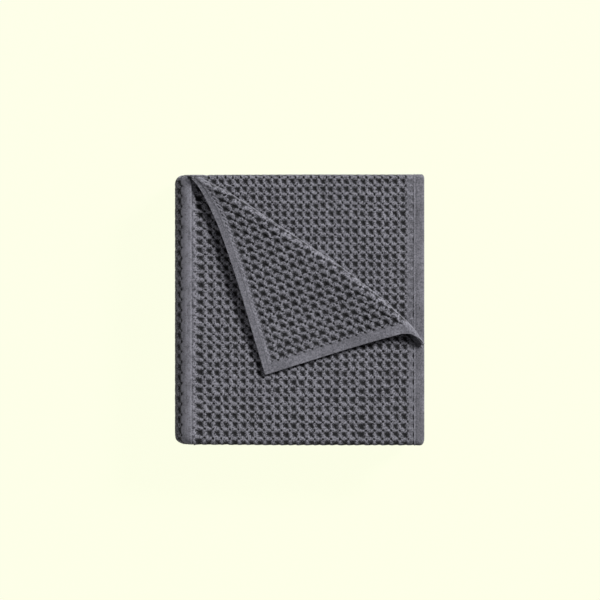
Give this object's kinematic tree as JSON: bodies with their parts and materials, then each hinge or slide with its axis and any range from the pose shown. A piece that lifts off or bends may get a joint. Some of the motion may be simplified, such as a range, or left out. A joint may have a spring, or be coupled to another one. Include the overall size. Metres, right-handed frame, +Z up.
{
  "type": "folded bath towel",
  "caption": "Waffle-weave bath towel folded into a flat rectangular bundle with square sides, its top corner turned over to show the back of the cloth.",
  "frame": {"origin": "middle of the underside of the bundle, on the surface that it rests on", "axes": "+Z up, +X towards the open end of the top ply with its end hem, -X towards the rounded side fold, +Y towards the back where the top ply's long hem lies, -Y towards the front fold"},
  "size_m": [0.215, 0.2331, 0.0652],
  "materials": {
    "waffle_cotton": "soft matte slate-grey cotton in a deep square waffle weave, with plain woven hems"
  },
  "bodies": {
    "root": {"towel": "waffle_cotton"}
  },
  "joints": []
}
